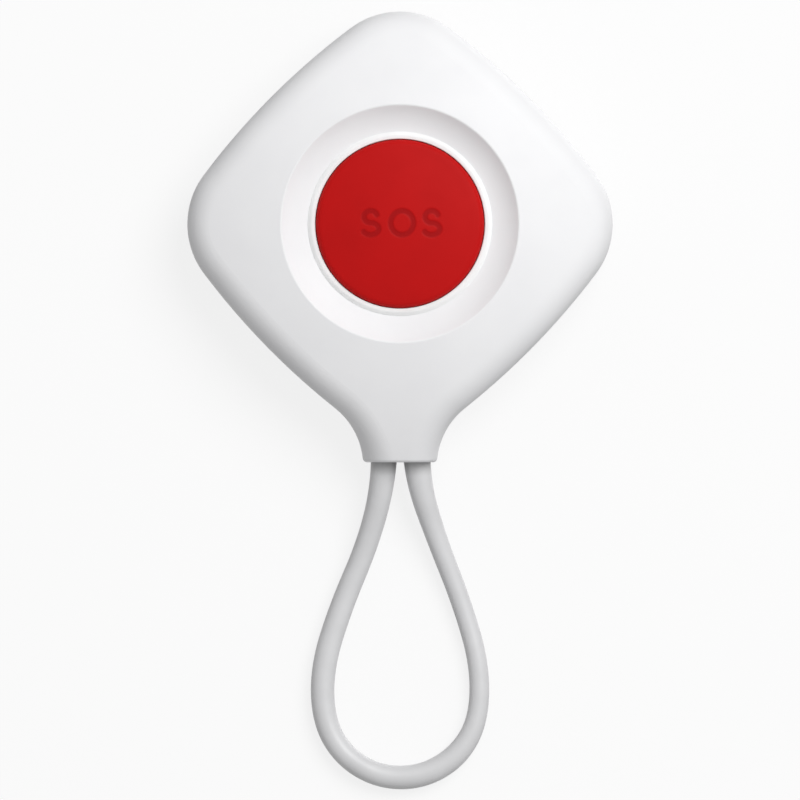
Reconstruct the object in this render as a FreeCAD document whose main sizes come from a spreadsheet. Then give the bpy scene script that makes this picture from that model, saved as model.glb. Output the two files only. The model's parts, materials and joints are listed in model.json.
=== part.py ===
import FreeCAD, Part
import math
import os
import re
import Sketcher

# A pendant panic button lying on its back. The origin is on the button's axis in the plane of the
# flat back, +Z points out of the front face and +Y to the tip of the case opposite the neck.

SIZES = {
    # outline of the case: three rounded tips, bulged sides, and a neck where the fourth tip would be
    "tip_reach": 28.36,
    "corner_radius": 10.9,
    "side_radius": 99.0,
    "neck_length": 3.39,
    "neck_half_width": 4.95,
    "flare_radius": 9.8,
    # section of the case
    "crown_radius": 75.0,
    "parting_height": 4.8,
    "front_round": 4.4,
    "back_round": 4.0,
    "end_round": 0.6,
    "wall": 1.8,
    "floor_thickness": 1.8,
    "inner_back_round": 2.2,
    # dish round the button
    "dish_radius": 15.8,
    "dish_depth": 1.85,
    "cove_slant": 1.2,
    "dish_edge_round": 0.25,
    "dish_wall": 1.7,
    # tongue on the back housing, and the gasket that it presses
    "tongue_thickness": 0.8,
    "tongue_height": 1.0,
    "seal_thickness": 0.5,
    "tongue_gap": 0.05,
    # collar round the cap
    "ring_radius": 12.2,
    "ring_width": 0.9,
    "ring_proud": 0.35,
    "ring_round": 0.3,
    "ring_flange_width": 1.8,
    "ring_flange_thickness": 1.0,
    "ring_fit": 0.05,
    # push cap
    "cap_gap": 0.15,
    "cap_proud": 0.55,
    "cap_dome": 0.95,
    "cap_round": 0.9,
    "cap_plate": 1.5,
    "cap_skirt": 1.2,
    "cap_flange_width": 0.7,
    "cap_flange_thickness": 0.8,
    "cap_flange_gap": 0.2,
    "cap_travel": 0.5,
    "cap_post_radius": 1.9,
    "cap_post_height": 1.87,
    "cap_rib_thickness": 0.8,
    "cap_rib_height": 0.9,
    # battery and its door
    "door_recess": 0.15,
    "door_plate": 1.3,
    "door_bevel": 0.3,
    "door_rim": 1.3,
    "door_gap": 0.1,
    "skirt_gap": 0.45,
    "skirt_thickness": 1.3,
    "skirt_height": 2.45,
    "lug_reach": 1.15,
    "lug_thickness": 0.8,
    "lug_gap": 0.1,
    "lug_angle": 24.0,
    "notch_margin": 2.0,
    "door_turn": 45.0,
    "ledge_height": 2.9,
    "collar_thickness": 1.5,
    "slot_length": 13.0,
    "slot_width": 1.9,
    "slot_depth": 0.6,
    "oring_inset": 0.6,
    "oring_section": 0.36,
    "oring_fit": 0.03,
    "cell_radius": 10.0,
    "cell_height": 3.2,
    "cell_step": 0.5,
    "cell_cap_radius": 8.7,
    "cell_round": 0.3,
    "cell_gap": 0.15,
    # battery holder and contacts
    "contact_height": 1.2,
    "contact_strip": 0.2,
    "contact_width": 3.6,
    "contact_foot": 2.0,
    "contact_reach": 1.3,
    "contact_arm": 5.0,
    "contact_gap": 0.3,
    "holder_gap": 0.15,
    "holder_wall": 1.05,
    "holder_clear": 0.2,
    # circuit board and what it carries
    "board_gap": 0.5,
    "board_side_gap": 1.9,
    "board_thickness": 1.0,
    "board_round": 1.0,
    "switch_side": 6.2,
    "switch_height": 3.3,
    "plunger_radius": 1.7,
    "plunger_proud": 1.0,
    "plunger_depth": 1.2,
    "plunger_fit": 0.06,
    "rivet_radius": 0.5,
    "rivet_height": 0.15,
    "rivet_place": 2.35,
    "switch_corner": 0.6,
    "chip_side": 5.0,
    "chip_height": 0.85,
    "chip_place": 6.6,
    "module_length": 9.0,
    "module_side_gap": 0.4,
    "module_edge": 0.8,
    "module_gap": 0.6,
    "crystal_length": 3.2,
    "crystal_width": 2.5,
    "crystal_height": 0.8,
    "capacitor_length": 3.2,
    "capacitor_width": 1.6,
    "capacitor_height": 1.6,
    "capacitor_place": 14.6,
    "capacitor_side_place": 5.0,
    "component_edge": 0.15,
    "led_length": 2.0,
    "led_width": 1.25,
    "led_height": 0.8,
    "led_inset": 0.9,
    "antenna_span": 14.0,
    "antenna_gap": 1.27,
    "antenna_strip": 0.4,
    "antenna_width": 1.4,
    "antenna_inset": 1.8,
    # posts that hold the board
    "post_inset": 2.74,
    "board_post_radius": 1.4,
    "pin_radius": 0.7,
    "pin_fit": 0.06,
    # screws and their bosses
    "screw_place": 20.5,
    "boss_radius": 2.6,
    "screw_shank_radius": 0.95,
    "screw_fit": 0.04,
    "screw_head_radius": 1.75,
    "screw_head_height": 1.2,
    "screw_head_sink": 0.4,
    "screw_head_gap": 0.2,
    "screw_length": 8.2,
    "screw_tip_gap": 0.3,
    "screw_slot_width": 0.5,
    "screw_slot_length": 2.1,
    "screw_slot_depth": 0.6,
    # neck pocket, strap outlet and the block that holds the strap
    "strap_radius": 1.6,
    "leg_place": 2.13,
    "outlet_gap": 0.2,
    "neck_end_wall": 1.0,
    "anchor_length": 2.3,
    "anchor_side_gap": 0.15,
    "anchor_wall": 0.7,
    "anchor_round": 0.5,
}

# The strap's left and right legs from the neck down to the bottom of the loop, in plan. They lie on the
# surface apart from their upper ends, which come down to it from the neck.
LEFT_LEG = [(-4.1, -42.4), (-7.95, -51.2), (-10.45, -59.3), (-10.25, -66.4), (-7.48, -71.2), (-2.67, -73.95)]
RIGHT_LEG = [(4.7, -42.0), (8.2, -50.5), (10.75, -59.0), (10.45, -66.4), (7.68, -71.2), (2.87, -73.95)]
LEG_STRAIGHT = 5.2
LEG_LANDING = 0.8
BEND_SHARE = 0.45

# Places worked out from the sizes above, as expression text. Heights are plain sums, so they are put
# in brackets where something is taken from or multiplied by them.
NECK_END = "(tip_reach + neck_length)"
TIP_CENTRE = "(tip_reach - corner_radius)"
SIDE_CENTRE = f"((sqrt(2 * (side_radius - corner_radius) ^ 2 - {TIP_CENTRE} ^ 2) - {TIP_CENTRE}) / 2)"
SIDE_REACH = f"(side_radius - sqrt(2) * {SIDE_CENTRE})"
DOOR_INNER = "door_recess + door_plate"
CELL_BASE = f"{DOOR_INNER} + cell_gap"
CELL_TOP = f"{CELL_BASE} + cell_height"
BOARD_UNDER = f"{CELL_TOP} + contact_height"
BOARD_TOP = f"{BOARD_UNDER} + board_thickness"
SWITCH_TOP = f"{BOARD_TOP} + switch_height"
PLUNGER_TOP = f"{SWITCH_TOP} + plunger_proud"
CAP_UNDER = f"{PLUNGER_TOP} + cap_post_height"
CAP_TOP = f"{CAP_UNDER} + cap_plate"
CAP_RIM = f"{CAP_TOP} - cap_dome"
RING_TOP = f"{CAP_RIM} - cap_proud"
VALLEY = f"{RING_TOP} - ring_proud"
DISH_UNDER = f"{VALLEY} - dish_wall"
RING_UNDER = f"{DISH_UNDER} - ring_flange_thickness"
CAP_FLANGE_TOP = f"{RING_UNDER} - cap_flange_gap"
CAP_FLANGE_UNDER = f"{CAP_FLANGE_TOP} - cap_flange_thickness"
RING_BORE = "(ring_radius - ring_width)"
CAP_RADIUS = f"({RING_BORE} - cap_gap)"
DISH_BORE = "(ring_radius + ring_fit)"
COVE_WIDTH = f"(dish_radius - {DISH_BORE})"
COVE_CENTRE = f"({DISH_BORE} - cove_slant)"
COVE_RISE = f"((2 * cove_slant * {COVE_WIDTH} + {COVE_WIDTH} ^ 2 + dish_depth ^ 2) / (2 * dish_depth))"
DISH_EDGE = f"{VALLEY} + dish_depth"
CROWN_CENTRE = f"({DISH_EDGE} - sqrt(crown_radius ^ 2 - dish_radius ^ 2))"
CROWN_TOP = f"({CROWN_CENTRE} + crown_radius)"
SKIRT_TOP = f"{DOOR_INNER} + skirt_height"
HOLDER_UNDER = f"{SKIRT_TOP} + holder_clear"
RECESS_TOP = f"{DOOR_INNER} + door_gap"
SKIRT_RADIUS = "(cell_radius + skirt_gap + skirt_thickness)"
LEDGE_RADIUS = f"({SKIRT_RADIUS} + lug_gap)"
LUG_RADIUS = f"({SKIRT_RADIUS} + lug_reach)"
DOOR_RADIUS = f"({LUG_RADIUS} + door_rim)"
ORING_RADIUS = f"({DOOR_RADIUS} - oring_inset)"
LUG_BASE = "(ledge_height + lug_gap)"
LUG_TOP = f"({LUG_BASE} + lug_thickness)"
BOARD_HALF = "(screw_place - boss_radius - board_gap)"
BOARD_SIDE = f"({SIDE_REACH} - wall - board_side_gap)"
POST_PLACE = f"(({BOARD_SIDE} - post_inset) / sqrt(2))"
MODULE_HEIGHT = f"({RING_UNDER} - module_gap - ({BOARD_TOP}))"
MODULE_INNER = f"({CAP_RADIUS} + cap_flange_width + module_side_gap)"
MODULE_OUTER = f"({BOARD_HALF} - module_edge)"
MODULE_WIDTH = f"({MODULE_OUTER} - {MODULE_INNER})"
MODULE_PLACE = f"(({MODULE_OUTER} + {MODULE_INNER}) / 2)"
LED_PLACE = "(ring_radius + led_inset)"
ANTENNA_TOP = f"({DISH_UNDER} - antenna_gap)"
ANTENNA_PLACE = f"({BOARD_HALF} - antenna_inset)"
HEAD_TOP = "screw_head_sink + screw_head_height"
SCREW_TIP = f"{HEAD_TOP} + screw_length"
ANCHOR_END = f"({NECK_END} - neck_end_wall - anchor_side_gap)"
ANCHOR_START = f"({ANCHOR_END} - anchor_length)"
ANCHOR_REACH = "(leg_place + strap_radius)"
ANCHOR_RISE = "(strap_radius + anchor_wall)"

LUGS = 3
CORNERS = 4
RIBS = 2
FULL_TURN = 360.0
CLEAR = 1.0
TIGHT = 1e-3

doc = FreeCAD.newDocument("panic_button")
sheet = doc.addObject("Spreadsheet::Sheet", "Sizes")
for row, (alias, number) in enumerate(SIZES.items(), 1):
    sheet.set(f"A{row}", alias)
    sheet.set(f"B{row}", str(number))
    sheet.setAlias(f"B{row}", alias)
doc.recompute()


NAME = r"\b[a-z][a-z_]*\b(?!\s*\()"


def cells(text):
    """Expression text with every size name pointed at its cell."""
    return re.sub(NAME, lambda found: "Sizes." + found.group(0), text)


def worth(text):
    """What expression text comes to with the sizes as written."""
    return FreeCAD.Units.Quantity(re.sub(NAME, lambda found: str(SIZES[found.group(0)]), text)).Value


def bind(item, property_name, text):
    item.setExpression(property_name, cells(text))


def new_body(name):
    body = doc.addObject("PartDesign::Body", name)
    body.Label = name
    return body


def new_sketch(body, name, role, height="0"):
    """Sketch on one of the body's own planes, lifted along its normal by height."""
    sketch = body.newObject("Sketcher::SketchObject", name)
    plane = [item for item in body.Origin.OriginFeatures if item.Role == role][0]
    sketch.AttachmentSupport = [(plane, "")]
    sketch.MapMode = "FlatFace"
    if height != "0":
        bind(sketch, "AttachmentOffset.Base.z", height)
    return sketch


def dimension(sketch, kind, text, *places):
    """One driving dimension that follows the sheet."""
    number = sketch.addConstraint(Sketcher.Constraint(kind, *places, worth(text)))
    bind(sketch, f"Constraints[{number}]", text)


def hold_point(sketch, side, end, across, up=None):
    """Hold a point of a sketch at its coordinates, on an axis where one is nought."""
    if across == "0":
        sketch.addConstraint(Sketcher.Constraint("PointOnObject", side, end, -2))
    else:
        dimension(sketch, "DistanceX", across, -1, 1, side, end)
    if up == "0":
        sketch.addConstraint(Sketcher.Constraint("PointOnObject", side, end, -1))
    elif up is not None:
        dimension(sketch, "DistanceY", up, -1, 1, side, end)


def draw_arc(sketch, start, end, centre, clockwise=False):
    """Arc between two points; gives its number in the sketch and which of its ends comes first."""
    first, last = (end, start) if clockwise else (start, end)
    turns = [math.atan2(point[1] - centre[1], point[0] - centre[0]) for point in (first, last)]
    reach = math.hypot(start[0] - centre[0], start[1] - centre[1])
    circle = Part.Circle(FreeCAD.Vector(*centre, 0), FreeCAD.Vector(0, 0, 1), reach)
    side = sketch.addGeometry(Part.ArcOfCircle(circle, *turns))
    return (side, 2, 1) if clockwise else (side, 1, 2)


def draw_line(sketch, start, end):
    line = Part.LineSegment(FreeCAD.Vector(*start, 0), FreeCAD.Vector(*end, 0))
    return sketch.addGeometry(line), 1, 2


def closed_profile(sketch, corners, arcs=None):
    """Closed outline through corners given as expression text.

    arcs turns the side after a numbered corner into an arc: its centre across and up, and whether it
    runs clockwise.
    """
    arcs = arcs or {}
    spots = [(worth(across), worth(up)) for across, up in corners]
    sides = []
    for number, start in enumerate(spots):
        end = spots[(number + 1) % len(spots)]
        if number in arcs:
            across, up, clockwise = arcs[number]
            sides.append(draw_arc(sketch, start, end, (worth(across), worth(up)), clockwise))
        else:
            sides.append(draw_line(sketch, start, end))
    for number, (across, up) in enumerate(corners):
        before, _, before_end = sides[number - 1]
        side, side_start, _ = sides[number]
        sketch.addConstraint(Sketcher.Constraint("Coincident", before, before_end, side, side_start))
        hold_point(sketch, side, side_start, across, up)
    for number, (across, _, _) in arcs.items():
        hold_point(sketch, sides[number][0], 3, across)
    return sketch


def box_profile(sketch, left, right, low, high):
    return closed_profile(sketch, [(left, low), (right, low), (right, high), (left, high)])


def circle_profile(sketch, across, up, radius):
    centre = FreeCAD.Vector(worth(across), worth(up), 0)
    side = sketch.addGeometry(Part.Circle(centre, FreeCAD.Vector(0, 0, 1), worth(radius)))
    hold_point(sketch, side, 3, across, up)
    dimension(sketch, "Radius", radius, side)
    return sketch


def pad(body, sketch, length, name, symmetric=False):
    feature = body.newObject("PartDesign::Pad", name)
    feature.Profile = sketch
    feature.Midplane = symmetric
    bind(feature, "Length", length)
    body.Tip = feature
    return feature


def turned(body, sketch, kind, name, span=None):
    """Revolution or groove of a sketch about the button's axis, all round or evenly through span degrees."""
    feature = body.newObject(f"PartDesign::{kind}", name)
    feature.Profile = sketch
    feature.ReferenceAxis = (sketch, ["V_Axis"])
    feature.Angle = FULL_TURN
    if span:
        feature.Midplane = True
        bind(feature, "Angle", span)
    body.Tip = feature
    return feature


def sector(body, kind, name, box, span, centre="0"):
    """Part of a ring about the button's axis, added or taken away: a box turned through span degrees."""
    sketch = new_sketch(body, f"{name}_section", "XZ_Plane")
    upright = FreeCAD.Rotation(FreeCAD.Vector(0, 1, 0), worth(centre))
    sketch.AttachmentOffset = FreeCAD.Placement(FreeCAD.Vector(), upright)
    if centre != "0":
        bind(sketch, "AttachmentOffset.Rotation.Angle", centre)
    return turned(body, box_profile(sketch, *box), kind, name, span)


def cut(body, sketch, length, name, upward=False):
    """Pocket of the given depth; None goes through everything. It has to take material away."""
    doc.recompute()
    volume_before = body.Shape.Volume
    feature = body.newObject("PartDesign::Pocket", name)
    feature.Profile = sketch
    if length is None:
        feature.Type = "ThroughAll"
    else:
        bind(feature, "Length", length)
    feature.Reversed = upward
    body.Tip = feature
    doc.recompute()
    if body.Shape.Volume > volume_before - TIGHT:
        raise RuntimeError(f"{name} takes nothing away")
    return feature


def around(body, features, count, name):
    """Repeat features evenly about the button's axis."""
    pattern = body.newObject("PartDesign::PolarPattern", name)
    pattern.Originals = features
    axis = [item for item in body.Origin.OriginFeatures if item.Role == "Z_Axis"][0]
    pattern.Axis = (axis, [""])
    pattern.Angle = FULL_TURN
    pattern.Occurrences = count
    body.Tip = pattern
    return pattern


def soften(body, radius, name, chosen, kind="Fillet"):
    """Round or bevel the edges of the body for which chosen(edge) holds."""
    doc.recompute()
    edges = [f"Edge{number}" for number, edge in enumerate(body.Shape.Edges, 1) if chosen(edge)]
    if not edges:
        raise RuntimeError(f"{name} finds no edge")
    base = body.Tip
    feature = body.newObject(f"PartDesign::{kind}", name)
    feature.Base = (base, edges)
    bind(feature, "Radius" if kind == "Fillet" else "Size", radius)
    body.Tip = feature
    doc.recompute()
    return feature


def flat_at(edge, height):
    box = edge.BoundBox
    return abs(box.ZMin - height) < TIGHT and abs(box.ZMax - height) < TIGHT


def circle_at(edge, height, radius):
    """Whether an edge is a whole circle about the button's axis at a height."""
    return flat_at(edge, height) and abs(edge.BoundBox.XMax - radius) < TIGHT


def on_crown(edge, inset):
    """Whether an edge bounds the domed crown, which leaves out what runs up to the dome's top."""
    if edge.BoundBox.ZMax > worth(CROWN_TOP) - inset - TIGHT:
        return False
    middle = edge.valueAt((edge.FirstParameter + edge.LastParameter) / 2)
    reach = middle.distanceToPoint(FreeCAD.Vector(0, 0, worth(CROWN_CENTRE)))
    return abs(reach - SIZES["crown_radius"] + inset) < TIGHT


def in_end_face(edge):
    return edge.BoundBox.YMax < -worth(NECK_END) + TIGHT


def quarter_turned(point, quarters):
    for _ in range(quarters):
        point = (-point[1], point[0])
    return point


def diamond_arcs(inset):
    """Tip and side arcs anticlockwise from the right tip, each as its kind, start, end and centre."""
    tip = worth(TIP_CENTRE)
    offset = worth(SIDE_CENTRE)
    reach = math.hypot(tip + offset, offset)
    corner = SIZES["corner_radius"] - inset
    along = tip + corner * (tip + offset) / reach
    across = corner * offset / reach
    arcs = []
    for quarter in range(CORNERS):
        high = quarter_turned((along, across), quarter)
        low = quarter_turned((along, -across), quarter)
        arcs.append(("tip", low, high, quarter_turned((tip, 0), quarter)))
        arcs.append(("side", high, quarter_turned((across, along), quarter),
                     quarter_turned((-offset, -offset), quarter)))
    return arcs


def hold_tip_centre(sketch, side, quarter):
    places = [(TIP_CENTRE, "0"), ("0", TIP_CENTRE), (f"-{TIP_CENTRE}", "0"), ("0", f"-{TIP_CENTRE}")]
    hold_point(sketch, side, 3, *places[quarter])


def diamond_profile(sketch, inset="0"):
    """The whole rounded diamond, with its fourth tip, set in from the outline of the case."""
    arcs = diamond_arcs(worth(inset))
    sides = [draw_arc(sketch, *arc[1:])[0] for arc in arcs]
    for number, side in enumerate(sides):
        following = sides[(number + 1) % len(sides)]
        sketch.addConstraint(Sketcher.Constraint("Tangent", side, 2, following, 1))
        if arcs[number][0] == "tip":
            hold_tip_centre(sketch, side, number // 2)
            dimension(sketch, "Radius", f"corner_radius - ({inset})", side)
        else:
            dimension(sketch, "Radius", f"side_radius - ({inset})", side)
    return sketch


def flare_centre():
    """Centre of the right flare, which runs from the neck's corner and meets the lower right side."""
    offset = worth(SIDE_CENTRE)
    far = SIZES["side_radius"] + SIZES["flare_radius"]
    run = (SIZES["neck_half_width"] + offset, -worth(NECK_END) - offset)
    gap = math.hypot(*run)
    along = (far ** 2 - SIZES["flare_radius"] ** 2 + gap ** 2) / (2 * gap)
    across = math.sqrt(far ** 2 - along ** 2)
    unit = (run[0] / gap, run[1] / gap)
    return -offset + along * unit[0] - across * unit[1], offset + along * unit[1] + across * unit[0]


def case_profile(sketch):
    """Outline of the case: three tips, four sides, and a concave flare down each side of the neck."""
    arcs = diamond_arcs(0.0)
    offset = worth(SIDE_CENTRE)
    centre = flare_centre()
    corner = (SIZES["neck_half_width"], -worth(NECK_END))
    share = SIZES["side_radius"] / (SIZES["side_radius"] + SIZES["flare_radius"])
    join = (-offset + share * (centre[0] + offset), offset + share * (centre[1] - offset))

    def mirrored(point):
        return -point[0], point[1]

    path = [
        ("flare", corner, join, centre, True),
        ("side", join, arcs[0][1], (-offset, offset), False),
        *[(*arc, False) for arc in arcs[:2 * (CORNERS - 1) - 1]],
        ("side", mirrored(arcs[0][1]), mirrored(join), (offset, offset), False),
        ("flare", mirrored(join), mirrored(corner), mirrored(centre), True),
    ]
    radii = {"flare": "flare_radius", "side": "side_radius", "tip": "corner_radius"}
    sides = [draw_arc(sketch, start, end, middle, clockwise) for _, start, end, middle, clockwise in path]
    for (side, _, side_end), (following, following_start, _) in zip(sides, sides[1:]):
        sketch.addConstraint(Sketcher.Constraint("Tangent", side, side_end, following, following_start))
    end_line, line_start, line_end = draw_line(sketch, mirrored(corner), corner)
    first, first_start, _ = sides[0]
    last, _, last_end = sides[-1]
    sketch.addConstraint(Sketcher.Constraint("Coincident", last, last_end, end_line, line_start))
    sketch.addConstraint(Sketcher.Constraint("Coincident", end_line, line_end, first, first_start))
    hold_point(sketch, first, first_start, "neck_half_width", f"-{NECK_END}")
    hold_point(sketch, last, last_end, "-neck_half_width", f"-{NECK_END}")
    tips = 0
    for (kind, *_), (side, _, _) in zip(path, sides):
        dimension(sketch, "Radius", radii[kind], side)
        if kind == "tip":
            hold_tip_centre(sketch, side, tips)
            tips += 1
    hold_point(sketch, sides[1][0], 3, f"-{SIDE_CENTRE}")
    hold_point(sketch, sides[-2][0], 3, SIDE_CENTRE)
    return sketch


def crown_profile(sketch, inset="0"):
    """Region above the domed crown, out to past the neck's end."""
    outer = f"({NECK_END} + {CLEAR})"
    high = f"{CROWN_TOP} + {CLEAR}"
    radius = f"(crown_radius - {inset})"
    corners = [("0", f"{CROWN_CENTRE} + {radius}"),
               (outer, f"{CROWN_CENTRE} + sqrt({radius} ^ 2 - {outer} ^ 2)"), (outer, high), ("0", high)]
    return closed_profile(sketch, corners, {0: ("0", CROWN_CENTRE, True)})


def neck_pocket(body, side, upward):
    """Half of the pocket for the strap's block, cut from the parting plane, and half of the outlet."""
    pocket = box_profile(new_sketch(body, f"{side}_neck_pocket", "XY_Plane", "parting_height"),
                         f"-({ANCHOR_REACH} + anchor_side_gap)", f"{ANCHOR_REACH} + anchor_side_gap",
                         f"-({NECK_END} - neck_end_wall)", f"-({ANCHOR_START} - anchor_side_gap)")
    cut(body, pocket, f"{ANCHOR_RISE} + anchor_side_gap", f"{side}_neck_pocket_cut", upward)
    reach = "(strap_radius + outlet_gap)"
    outlet = new_sketch(body, f"{side}_outlet", "XZ_Plane", ANCHOR_START)
    corners = [("-leg_place", f"parting_height - {reach}"), ("leg_place", f"parting_height - {reach}"),
               ("leg_place", f"parting_height + {reach}"), ("-leg_place", f"parting_height + {reach}")]
    closed_profile(outlet, corners, {1: ("leg_place", "parting_height", False),
                                     3: ("-leg_place", "parting_height", False)})
    cut(body, outlet, f"{NECK_END} - {ANCHOR_START} + {CLEAR}", f"{side}_outlet_cut", True)


def front_cavity():
    """Space inside the front housing, drawn as a solid that is then taken out of it."""
    body = new_body("front_cavity")
    chamber = diamond_profile(new_sketch(body, "chamber", "XY_Plane", "parting_height"), "wall")
    pad(body, chamber, f"{CROWN_TOP} - parting_height", "chamber_block")
    crown = crown_profile(new_sketch(body, "chamber_crown", "XZ_Plane"), "wall")
    turned(body, crown, "Groove", "chamber_dome")
    soften(body, "front_round - wall", "chamber_round", lambda edge: on_crown(edge, SIZES["wall"]))
    under = box_profile(new_sketch(body, "under_dish", "XZ_Plane"), "0", "dish_radius + dish_wall",
                        DISH_UNDER, f"{CROWN_TOP} + {CLEAR}")
    turned(body, under, "Groove", "dish_underside")
    boss = circle_profile(new_sketch(body, "boss", "XY_Plane", "parting_height"),
                          "screw_place", "0", "boss_radius")
    around(body, [cut(body, boss, None, "boss_space", True)], CORNERS, "boss_spaces")
    post = circle_profile(new_sketch(body, "hold_down", "XY_Plane", BOARD_TOP),
                          POST_PLACE, POST_PLACE, "board_post_radius")
    around(body, [cut(body, post, None, "hold_down_space", True)], CORNERS, "hold_down_spaces")
    return body


def front_cover():
    """Front housing: outline, domed crown, rounded shoulder, coved dish, hollow inside."""
    body = new_body("front_cover")
    outline = case_profile(new_sketch(body, "front_outline", "XY_Plane", "parting_height"))
    pad(body, outline, f"{CROWN_TOP} - parting_height", "front_block")
    turned(body, crown_profile(new_sketch(body, "front_crown", "XZ_Plane")), "Groove", "front_dome")
    soften(body, "front_round", "shoulder", lambda edge: on_crown(edge, 0.0) and not in_end_face(edge))
    soften(body, "end_round", "front_neck_end",
           lambda edge: in_end_face(edge) and not flat_at(edge, SIZES["parting_height"]))

    low = f"parting_height - {CLEAR}"
    high = f"{CROWN_TOP} + {CLEAR}"
    corners = [("0", low), (DISH_BORE, low), (DISH_BORE, VALLEY), ("dish_radius", DISH_EDGE),
               ("dish_radius", high), ("0", high)]
    cove = {2: (COVE_CENTRE, f"{VALLEY} + {COVE_RISE}", False)}
    dish = closed_profile(new_sketch(body, "dish", "XZ_Plane"), corners, cove)
    turned(body, dish, "Groove", "dish_and_bore")
    soften(body, "dish_edge_round", "dish_edge",
           lambda edge: circle_at(edge, worth(DISH_EDGE), SIZES["dish_radius"]))

    cavity = front_cavity()
    doc.recompute()
    hollow = body.newObject("PartDesign::Boolean", "hollow")
    hollow.Type = "Cut"
    hollow.setObjects([cavity])
    body.Tip = hollow

    rebate = new_sketch(body, "rebate", "XY_Plane", "parting_height")
    diamond_profile(rebate, "wall - tongue_thickness - tongue_gap")
    diamond_profile(rebate, "wall + tongue_gap")
    cut(body, rebate, "tongue_height + seal_thickness", "rebate_cut", True)
    pilot = circle_profile(new_sketch(body, "pilot", "XY_Plane", "parting_height"),
                           "screw_place", "0", "screw_shank_radius + screw_fit")
    depth = f"{SCREW_TIP} + screw_tip_gap - parting_height"
    around(body, [cut(body, pilot, depth, "pilot_cut", True)], CORNERS, "pilot_holes")
    neck_pocket(body, "front", True)
    return body


def rear_cover():
    """Back housing: flat back, rounded edge, board posts, screw bosses and the bayonet opening."""
    body = new_body("rear_cover")
    outline = case_profile(new_sketch(body, "back_outline", "XY_Plane"))
    pad(body, outline, "parting_height", "back_block")
    soften(body, "back_round", "back_edge", lambda edge: flat_at(edge, 0.0) and not in_end_face(edge))
    soften(body, "end_round", "back_neck_end",
           lambda edge: in_end_face(edge) and not flat_at(edge, SIZES["parting_height"]))
    chamber = diamond_profile(new_sketch(body, "back_chamber", "XY_Plane", "parting_height"), "wall")
    cut(body, chamber, "parting_height - floor_thickness", "back_chamber_cut")
    soften(body, "inner_back_round", "back_chamber_round",
           lambda edge: flat_at(edge, SIZES["floor_thickness"]))

    tongue = new_sketch(body, "tongue", "XY_Plane", "parting_height")
    diamond_profile(tongue, "wall - tongue_thickness")
    diamond_profile(tongue, "wall")
    pad(body, tongue, "tongue_height", "tongue_pad")

    sink = "(floor_thickness / 2)"
    boss = circle_profile(new_sketch(body, "back_boss", "XY_Plane", sink), "screw_place", "0", "boss_radius")
    around(body, [pad(body, boss, f"parting_height - {sink}", "back_boss_pad")], CORNERS, "back_bosses")
    standoff = circle_profile(new_sketch(body, "standoff", "XY_Plane", sink),
                              POST_PLACE, POST_PLACE, "board_post_radius")
    standoff_pad = pad(body, standoff, f"{BOARD_UNDER} - {sink}", "standoff_pad")
    pin = circle_profile(new_sketch(body, "locating_pin", "XY_Plane", sink),
                         POST_PLACE, POST_PLACE, "pin_radius")
    pin_pad = pad(body, pin, f"{BOARD_TOP} - {sink}", "locating_pin_pad")
    around(body, [standoff_pad, pin_pad], CORNERS, "standoffs")
    collar = circle_profile(new_sketch(body, "collar", "XY_Plane", sink), "0", "0",
                            f"{DOOR_RADIUS} + collar_thickness")
    pad(body, collar, f"ledge_height - {sink}", "collar_pad")
    between = f"({FULL_TURN / LUGS} - door_turn)"
    stop_box = (LEDGE_RADIUS, DOOR_RADIUS, sink, LUG_TOP)
    stop = sector(body, "Revolution", "lug_stop", stop_box, f"{between} - lug_angle - 2 * notch_margin",
                  f"{between} / 2")
    around(body, [stop], LUGS, "lug_stops")

    opening = box_profile(new_sketch(body, "door_opening", "XZ_Plane"), "0", f"{DOOR_RADIUS} + door_gap",
                          f"-{CLEAR}", RECESS_TOP)
    turned(body, opening, "Groove", "door_recess_cut")
    ledge = circle_profile(new_sketch(body, "ledge_bore", "XY_Plane"), "0", "0", LEDGE_RADIUS)
    cut(body, ledge, None, "ledge_bore_cut", True)
    notch_box = (f"{LEDGE_RADIUS} - lug_gap", f"{LUG_RADIUS} + lug_gap", "0", f"ledge_height + {CLEAR}")
    notch = sector(body, "Groove", "lug_notch", notch_box, "lug_angle + 2 * notch_margin", "-door_turn")
    around(body, [notch], LUGS, "lug_notches")

    seat = circle_profile(new_sketch(body, "head_seat", "XY_Plane"),
                          "screw_place", "0", "screw_head_radius + screw_head_gap")
    seat_cut = cut(body, seat, HEAD_TOP, "head_seat_cut", True)
    shank = circle_profile(new_sketch(body, "shank_hole", "XY_Plane"),
                           "screw_place", "0", "screw_shank_radius + screw_head_gap")
    shank_cut = cut(body, shank, None, "shank_hole_cut", True)
    around(body, [seat_cut, shank_cut], CORNERS, "screw_holes")
    neck_pocket(body, "back", False)
    return body


def case_seal():
    """Flat gasket on top of the tongue."""
    body = new_body("case_seal")
    ring = new_sketch(body, "seal_ring", "XY_Plane", "parting_height + tongue_height")
    diamond_profile(ring, "wall - tongue_thickness")
    diamond_profile(ring, "wall")
    pad(body, ring, "seal_thickness", "seal_pad")
    return body


def light_ring():
    """Collar round the cap, with a flange that seats under the floor of the dish."""
    body = new_body("light_ring")
    flange = "ring_radius + ring_flange_width"
    corners = [(RING_BORE, RING_UNDER), (flange, RING_UNDER), (flange, DISH_UNDER),
               ("ring_radius", DISH_UNDER), ("ring_radius", RING_TOP), (RING_BORE, RING_TOP)]
    turned(body, closed_profile(new_sketch(body, "ring_section", "XZ_Plane"), corners), "Revolution", "ring")
    soften(body, "ring_round", "ring_lip", lambda edge: flat_at(edge, worth(RING_TOP)))
    return body


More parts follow.
